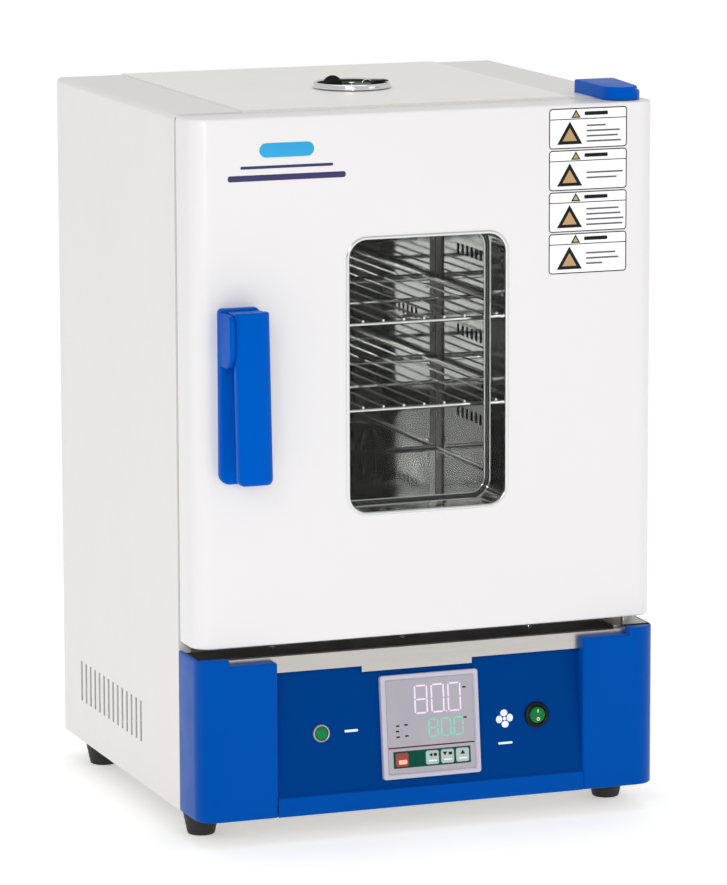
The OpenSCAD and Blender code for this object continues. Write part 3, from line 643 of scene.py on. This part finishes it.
def cover_plan(inset=0.0, steps=24):
    """Round nose in front; the right side widens towards the rounded rear corners."""
    r = NOSE_R - inset
    points = [(NOSE[0] + r * math.cos(math.pi + math.pi * k / steps),
               NOSE[1] + r * math.sin(math.pi + math.pi * k / steps)) for k in range(steps + 1)]
    corner_steps = 6
    behind = rect(cover_low.x, cover_high.x, NOSE[1], cover_high.y, (1, 1, 4, 4), inset, corner_steps)
    return points + behind[2 * (corner_steps + 1):]


def raised_plan(inset=0.0):
    """The upper half of the cover, stepped in along its right side."""
    return [(x - 1.1, y) for x, y in cover_plan(inset + 1.3)]


ribs = [prism(plate(NOSE[0] + (NOSE_R - 0.9) * math.cos(math.radians(a)),
                    NOSE[1] + (NOSE_R - 0.9) * math.sin(math.radians(a)), 1.5, 1.5, 0.7, 4),
              cover_low.z + 1, cover_low.z + 6.5, 0, 0.5) for a in range(290, 366, 9)]
piece("hinge_cap", [prism(lambda i=0.0: cover_plan(i + 0.2), cover_low.z, cover_low.z + 8, 0, 1, up, 4)],
      "cabinet", "blue_plastic", replaces=["hinge_cover"],
      fuse=[prism(raised_plan, cover_low.z + 5, cover_high.z, 0, 1.7, up, 5)] + ribs,
      cut=[box(187.7, 212.3, -33.3, 40.3, cover_low.z - 1, cover_low.z + 3.2)])


# ---------- vent ----------

ring_low, ring_high = cad("vent_ring")
VENT = (0, (ring_low.y + ring_high.y) / 2)
ROOF = ring_high.z - 4.8
DISC_Z = cad("vent_damper")[0].z
TUBE_LOW = 594
ring = [(18, TUBE_LOW), (18, ROOF + 1.2), (32.6, ROOF + 1.2), (33.0, ROOF + 1.6), (33.2, ROOF + 3.7),
        (33.7, ROOF + 4.5), (34.7, ROOF + 4.8), (35.7, ROOF + 4.4), (36.3, ROOF + 3.4),
        (36.5, ROOF + 1.8), (36.5, ROOF), (20, ROOF), (20, TUBE_LOW)]
piece("vent_collar", [lathe(ring, VENT, up, 96, closed=True)], "cabinet", "chrome",
      replaces=["vent_ring"],
      fuse=[box(-18.6, 18.6, VENT[1] - 3, VENT[1] + 3, 638, ROOF + 1.2, 0.4),
            lathe([(TINY, 638), (3, 638), (3, 646), (2.4, 646.5), (TINY, 646.5)], VENT, up, 32)])


def half_moon(inset=0.0, r=10, cx=-21, steps=24):
    """Upright half disc standing on the damper."""
    low = DISC_Z + 1.4
    angles = [math.pi * k / steps for k in range(steps + 1)]
    return [(cx + (r - inset) * math.cos(a), low + (r - inset) * math.sin(a)) for a in angles]


tab_y = VENT[1] - 4
hoop = [(19 - 4.5 * math.cos(a), VENT[1] + 11, DISC_Z + 0.9 + 3.6 * math.sin(a))
        for a in [math.pi * k / 12 for k in range(13)]]
piece("damper_disc",
      [lathe([(3.05, DISC_Z), (32.4, DISC_Z), (32.4, DISC_Z + 1), (31.9, DISC_Z + 1.5),
              (3.05, DISC_Z + 1.5)], VENT, up, 96, closed=True)],
      "damper", "black_plastic", replaces=["vent_damper"],
      fuse=[prism(half_moon, -tab_y - 0.75, -tab_y + 0.75, 0.3, 0.3, front, 2),
            box(19, 32.2, VENT[1] - 13, VENT[1] - 1, ROOF + 5, DISC_Z + 6, 0.8),
            box(18, 28, VENT[1] - 12, VENT[1] - 2, DISC_Z + 1.2, DISC_Z + 5, 0.4)],
      cut=[rod(6.5, DISC_Z - 1, DISC_Z + 3, (0, VENT[1] + 12), up, 32)])
lining = [(32.5, ROOF + 1.3), (32.95, ROOF + 1.3), (33.1, ROOF + 3.7), (32.6, ROOF + 3.7)]
piece("vent_lining", [lathe(lining, VENT, up, 96, closed=True)], "cabinet", "black_rubber")
piece("damper_hoop", [wire(hoop, 0.55)], "damper", "wire_steel")


# ---------- control base ----------

fascia_low = cad("fascia_left")[0]
BASE_FRONT = -fascia_low.y
WALL = 2.5
BLOCK_X, BLOCK_Z, HORN_X, HORN_Z = 150, 144, 196, 150


def corner_block(name, body_side):
    """Hollow corner moulding with a raised outer horn; body_side is -1 on the left and 1 on the right."""
    width = -fascia_low.x

    def plan(x_in, radius_in, wall=0.0):
        def outline(inset=0.0):
            points = rect(-width + wall, -x_in - wall, -BASE_FRONT + wall, -0.5 + (5 if wall else 0),
                          (20 - wall, radius_in, 0.5, 0.5), inset, 10)
            return points if body_side < 0 else [(-x, y) for x, y in reversed(points)]
        return outline

    def mirrored(x0, x1, *rest):
        return box(x0, x1, *rest) if body_side < 0 else box(-x1, -x0, *rest)

    return piece(name, [prism(plan(BLOCK_X, 3), 0, BLOCK_Z, 0.8, 1.8, up, 4)], "cabinet", "blue_paint",
                 replaces=["fascia_left" if body_side < 0 else "fascia_right"],
                 fuse=[prism(plan(HORN_X, 2), 2, HORN_Z, 0.8, 1.8, up, 4)],
                 cut=[prism(plan(BLOCK_X, 1, WALL), -1, BLOCK_Z - WALL),
                      prism(plan(HORN_X, 1, WALL), -1, HORN_Z - WALL),
                      mirrored(-width + WALL, -BLOCK_X + 1, -49.3, 5, 133.5, HORN_Z + 1),
                      mirrored(-BLOCK_X - WALL - 0.1, -BLOCK_X + 1, -BASE_FRONT + WALL, 5, -1, 1.6)])


corner_block("corner_moulding_left", -1)
corner_block("corner_moulding_right", 1)

sill_top = cad("sill_plate")[1].z
piece("sill_screws", screws([(x, -9, sill_top) for x in (-137, -10, 116)], 3.0), "cabinet", "chrome")


# ---------- controller ----------

METER = 96
FACE_W = 4.2
PRINTED = (FACE_W - 0.1, FACE_W + 0.04)     # depths of a print on the meter's face
ON_KEY = (4.7, 4.84)                        # on a key cap
ON_PANEL = (-0.02, 0.12)                    # on the control panel
KEY_V = -30.4
KEY_U = {"key_set": -29.6, "key_left": 0.2, "key_down": 15.1, "key_up": 30}


def mark(outline, depths):
    """Flat printed shape in the plane of the controls."""
    return prism(outline, *depths, place=controls)


piece("controller_bezel",
      [prism(plate(0, 0, METER, METER, 2.5), 0, 5, 0, 1.1, controls, 4)],
      "cabinet", "meter_plastic", replaces=["controller_case"],
      fuse=[prism(plate(0, 0, METER - 6, METER - 6, 1), -70, 1, 0.5, 0, controls)],
      cut=[prism(plate(0, 0, METER - 8.4, METER - 7.4, 2), 4.1, 5.5, 0, 0, controls),
           prism(plate(0, 0, METER - 10, METER - 9, 1.5), 2.6, 6, place=controls),
           prism(plate(0, KEY_V, 76, 16, 1), 0.4, 3, place=controls)])

piece("face_line", [mark(plate(0, METER / 2 - 67.2, METER - 11, 1.3, 0.2), PRINTED)], "cabinet",
      "print_brown")
piece("face_key_strip", [mark(plate(0, KEY_V, 76, 15.6, 0.6), PRINTED)], "cabinet", "print_green",
      cut=[prism(plate(u, KEY_V, 13.4, 13.4, 2.2), 3, 6, place=controls) for u in KEY_U.values()])
# Places of the small marks, from the upper left corner of the face
face_spots = [(82, 16), (82, 44), (15.5, 47), (23.5, 46.5), (15, 52), (15.5, 57.3), (24, 56.8)]
piece("face_marks", [mark(plate(u - METER / 2, METER / 2 - v, 3.4, 1.5, 0.3), PRINTED)
                     for u, v in face_spots], "cabinet", "print_black")

SEGMENTS = {"8": "abcdefg", "0": "abcdef"}


def digit(character, left, low, w, h, bar):
    """Lit bars of one seven-segment numeral."""
    gap = bar * 0.25
    tall = h / 2 - bar - 2 * gap
    wide = w - 2 * bar - 2 * gap
    spots = {"a": (0, h - bar / 2, wide, bar), "d": (0, bar / 2, wide, bar), "g": (0, h / 2, wide, bar),
             "b": (w / 2 - bar / 2, 0.75 * h - bar / 4, bar, tall + bar / 2),
             "c": (w / 2 - bar / 2, 0.25 * h + bar / 4, bar, tall + bar / 2),
             "f": (-w / 2 + bar / 2, 0.75 * h - bar / 4, bar, tall + bar / 2),
             "e": (-w / 2 + bar / 2, 0.25 * h + bar / 4, bar, tall + bar / 2)}
    lit_bars = [spots[s] for s in SEGMENTS[character]]
    return [mark(plate(left + w / 2 + u, low + v, bar_w, bar_h, bar * 0.4, 3), PRINTED)
            for u, v, bar_w, bar_h in lit_bars]


def readout(left, low, w, h, pitch, bar):
    """The reading 80.0, with its point."""
    shells = []
    for k, character in enumerate("800"):
        shells += digit(character, left + k * pitch, low, w, h, bar)
    point = plate(left + 2 * pitch - (pitch - w) / 2, low + bar / 2, bar, bar, bar * 0.4, 3)
    return shells + [mark(point, PRINTED)]


piece("display_upper", readout(-15.4, 10.5, 13.2, 26.8, 16.4, 1.5), "cabinet", "digit_white")
piece("display_lower", readout(-2.6, -12, 10, 17.5, 12.4, 1.5), "cabinet", "digit_mint")

ARROWS = {"key_left": [(-3.4, 2.4), (-0.2, 0.4), (-0.2, 4.4)],
          "key_down": [(-2.6, 0.6), (-0.4, 4.2), (-4.8, 4.2)],
          "key_up": [(-2.4, 0.8), (2.4, 0.8), (0, 4.6)]}
for key, u in KEY_U.items():
    cap = prism(plate(u, KEY_V, 13, 13, 2.2), 1.4, 4.8, 0.3, 0.9, controls)
    piece(key + "_cap", [cap], key, "key_red" if key == "key_set" else "key_grey", replaces=[key])
    if key in ARROWS:
        arrow = sorted(ARROWS[key], key=lambda p: math.atan2(p[1] - 2.4, p[0]))
        shapes = [mark(polygon([(u + x, KEY_V + y) for x, y in arrow]), ON_KEY)]
        if key != "key_up":
            shapes.append(mark(plate(u + 2.7, KEY_V + 2.4, 3.4, 2.6, 0.4), ON_KEY))
        piece(key + "_mark", shapes, key, "print_black")
        piece(key + "_bar", [mark(plate(u, KEY_V - 3, 8, 1.2, 0.4), ON_KEY)], key, "print_white")
    else:
        piece(key + "_mark", [mark(plate(u + 0.6, KEY_V - 2.2, 8.2, 4, 1), ON_KEY)], key,
              "key_red_mark_painted_glow")


# ---------- lamp, switch and their symbols ----------

LAMP_U, SWITCH_U = -106, 106.5
chrome_ring = [(6.2, -0.2), (6.2, 1.4), (6.6, 2.3), (7.3, 2.6), (8.0, 2.2), (8.5, 1.1), (8.5, -0.2)]
piece("lamp_ring", [lathe(chrome_ring, (LAMP_U, 0), controls, 64, closed=True)], "cabinet", "cast_alloy")
lens = [(TINY, -25), (6.4, -25), (6.4, -1), (6.1, -0.5), (6.1, 1.5), (5.6, 2.5), (4.4, 3.15), (2.4, 3.45),
        (TINY, 3.5)]
piece("lamp_lens_cap", [lathe(lens, (LAMP_U, 0), controls, 48)], "cabinet", "lamp_lens",
      replaces=["run_lamp"])

switch_ring = [(TINY, -8), (8.4, -8), (8.4, 1.7), (8.8, 2.6), (9.6, 3.0), (10.8, 2.7), (11.7, 1.7),
               (12, 0.6), (12, 0), (10.5, 0), (10.5, -22), (TINY, -22)]
piece("switch_ring", [lathe(switch_ring, (SWITCH_U, 0), controls, 64)], "cabinet", "black_plastic",
      replaces=["switch_bezel"])
rocker = turned(controls, (0, 0.5), math.radians(7))
paddle = [(TINY, -2.4), (7.4, -2.4), (7.6, -2.0), (7.6, 2.5), (7.2, 3.2), (6.4, 3.5), (3.5, 3.3),
          (TINY, 3.2)]
AXLE_HALF = 9.3
piece("rocker_paddle", [lathe(paddle, (SWITCH_U, 0), rocker, 48)], "rocker", "rocker_green",
      replaces=["switch_rocker"],
      fuse=[rod(1.2, SWITCH_U - AXLE_HALF, SWITCH_U + AXLE_HALF,
                place=lambda a, b, c: rocker(c, a, b + 0.5), count=24)])
circle_mark = [(0.9, 3.2), (0.9, 3.42), (1.6, 3.42), (1.6, 3.2)]
piece("rocker_marks", [prism(plate(SWITCH_U + 0.2, 4.2, 0.8, 3.6, 0.3), 3.2, 3.46, place=rocker),
                       lathe(circle_mark, (SWITCH_U + 0.6, -3.6), rocker, 24, closed=True)],
      "rocker", "print_white")

SYMBOL_U = 74.5
SYMBOL_V = -1.1
PETAL_AT, PETAL_R, PETAL_WIDER = 5.3, 3.1, 0.4
petals = [mark(ellipse(SYMBOL_U + PETAL_AT * dx, SYMBOL_V + PETAL_AT * dy,
                       PETAL_R + PETAL_WIDER * abs(dy), PETAL_R + PETAL_WIDER * abs(dx)), ON_PANEL)
          for dx, dy in ((1, 0.08), (-1, -0.08), (-0.08, 1), (0.08, -1))]
hub = prism(ellipse(SYMBOL_U, SYMBOL_V, 1.7, 1.7), -0.02, 0.2, place=controls)
piece("fan_symbol", petals + [hub], "cabinet", "print_white")
piece("panel_bars", [mark(plate(SYMBOL_U, -23.8, 14, 2, 0.6), ON_PANEL),
                     mark(plate(-76.5, 0, 13, 2.2, 0.6), ON_PANEL)], "cabinet", "print_white")


# ---------- feet, rear and chamber fastenings ----------

for node_name in ("feet_front", "feet_rear"):
    foot_low, foot_high = cad(node_name)
    foot_y = (foot_low.y + foot_high.y) / 2
    foot_x = foot_high.x - 18
    z0, z1 = foot_low.z, foot_high.z
    foot = [(TINY, z0), (11.6, z0), (12.4, z0 + 0.5), (12.9, z0 + 1.7), (16.6, z1 - 5.6),
            (17.1, z1 - 4.3), (17.9, z1 - 3.9), (17.9, z1), (TINY, z1)]
    piece("rubber_" + node_name, [lathe(foot, (x, foot_y), up, 48) for x in (-foot_x, foot_x)], "cabinet",
          "black_rubber", replaces=[node_name])

back_face = cad("rear_panel")[1].y
rear_spots = [(x, z, back_face) for x in (-214, 214) for z in (14, 220, 420, 626)]
rear_spots += [(x, z, back_face) for x in (-75, 75) for z in (14, 626)]
piece("rear_screws", screws(rear_spots, 3.0, rear), "cabinet", "wire_steel")
piece("rear_plate", [prism(plate(-30, 160, 92, 56, 3), back_face, back_face + 0.5, 0, 0.2, rear)],
      "cabinet", "brushed_steel")

baffle = -cad("rear_baffle")[0].y
baffle_spots = [(x, z, baffle) for x in (-128, 128) for z in (276, 350, 430, 510, 585)]
piece("chamber_screws", screws(baffle_spots, 2.4, front, 1.2), "cabinet", "wire_steel")

room_low, room_high = cad("floor_plate")
EDGE = room_high.z + 1.4
edge_path = [(room_low.x + 1.6, room_low.y + 14, EDGE), (room_low.x + 1.6, room_high.y - 6, EDGE),
             (room_low.x + 2.6, room_high.y - 2.4, EDGE), (room_low.x + 6, room_high.y - 1.6, EDGE),
             (room_high.x - 6, room_high.y - 1.6, EDGE), (room_high.x - 2.6, room_high.y - 2.4, EDGE),
             (room_high.x - 1.6, room_high.y - 6, EDGE), (room_high.x - 1.6, room_low.y + 14, EDGE)]
piece("floor_edge_wire", [wire(edge_path, 1.3)], "cabinet", "wire_steel")


# ---------- stage, light and camera ----------


def area_light(name, place, aim, size, power, colour=(1, 1, 1)):
    data = bpy.data.lights.new(name, "AREA")
    data.shape = "RECTANGLE"
    data.size, data.size_y = size
    data.energy = power
    data.color = colour
    light = bpy.data.objects.new(name, data)
    light.location = place
    light.rotation_euler = (Vector(aim) - Vector(place)).to_track_quat("-Z", "Y").to_euler()
    bpy.context.scene.collection.objects.link(light)


HALF_FLOOR = 30
floor_mesh = bpy.data.meshes.new("floor")
floor_corners = [(x * HALF_FLOOR, y * HALF_FLOOR, 0) for x, y in ((-1, -1), (1, -1), (1, 1), (-1, 1))]
floor_mesh.from_pydata(floor_corners, [], [(0, 1, 2, 3)])
floor = bpy.data.objects.new("floor", floor_mesh)
floor_mesh.materials.append(finish("floor", (246, 246, 246), 0.7, tint=0.004, tint_scale=2, relief=0.0,
                                   sockets=(("Emission Color", (1, 1, 1, 1)),
                                            ("Emission Strength", 0.36))))
bpy.context.scene.collection.objects.link(floor)

world = bpy.data.worlds.new("studio")
bpy.context.scene.world = world
world.use_nodes = True
sky = world.node_tree
direction = sky.nodes.new("ShaderNodeTexCoord").outputs["Generated"]
height = sky.nodes.new("ShaderNodeSeparateXYZ")
sky.links.new(direction, height.inputs["Vector"])
dome = sky.nodes.new("ShaderNodeValToRGB")
for element, position, level in zip(dome.color_ramp.elements, (0.0, 0.9), (0.96, 1.0)):
    element.position = position
    element.color = (level, level, level, 1)
sky.links.new(height.outputs["Z"], dome.inputs["Fac"])
sky.links.new(dome.outputs["Color"], sky.nodes["Background"].inputs["Color"])
sky.nodes["Background"].inputs["Strength"].default_value = 0.7

area_light("key", (-1.7, -3.0, 1.8), (0, 0, 0.35), (1.2, 1.2), 17)
area_light("flash", (-1.3, -4.4, 1.3), (0, 0, 0.4), (0.35, 0.35), 19)
area_light("fill", (2.4, -2.6, 1.2), (0, 0, 0.3), (1.4, 1.8), 4)
area_light("top", (0.0, 0.3, 3.0), (0, 0, 0.6), (2.0, 2.0), 9)

AZIMUTH, ELEVATION, ROLL = math.radians(-20.421), math.radians(9.880), math.radians(-0.167)
LENS, SENSOR = 208.13, 36.0
back = Vector((math.sin(AZIMUTH) * math.cos(ELEVATION), -math.cos(AZIMUTH) * math.cos(ELEVATION),
               math.sin(ELEVATION)))
right = (-back).cross(Vector((0, 0, 1))).normalized()
above = right.cross(-back)
AIM = Vector((0, 250, 350))
SHIFT_RIGHT, SHIFT_DOWN, DISTANCE = 45.566, 61.939, 4937.362
eye = AIM + right * SHIFT_RIGHT - above * SHIFT_DOWN + back * DISTANCE
camera_data = bpy.data.cameras.new("camera")
camera_data.lens = LENS
camera_data.sensor_width = SENSOR
camera_data.clip_end = 200
camera = bpy.data.objects.new("camera", camera_data)
camera.location = ORIGIN + eye * MM
turned_right = right * math.cos(ROLL) + above * math.sin(ROLL)
turned_up = above * math.cos(ROLL) - right * math.sin(ROLL)
camera.rotation_euler = Matrix((turned_right, turned_up, back)).transposed().to_euler()
bpy.context.scene.collection.objects.link(camera)
bpy.context.scene.camera = camera
bpy.context.scene.view_settings.view_transform = "Standard"
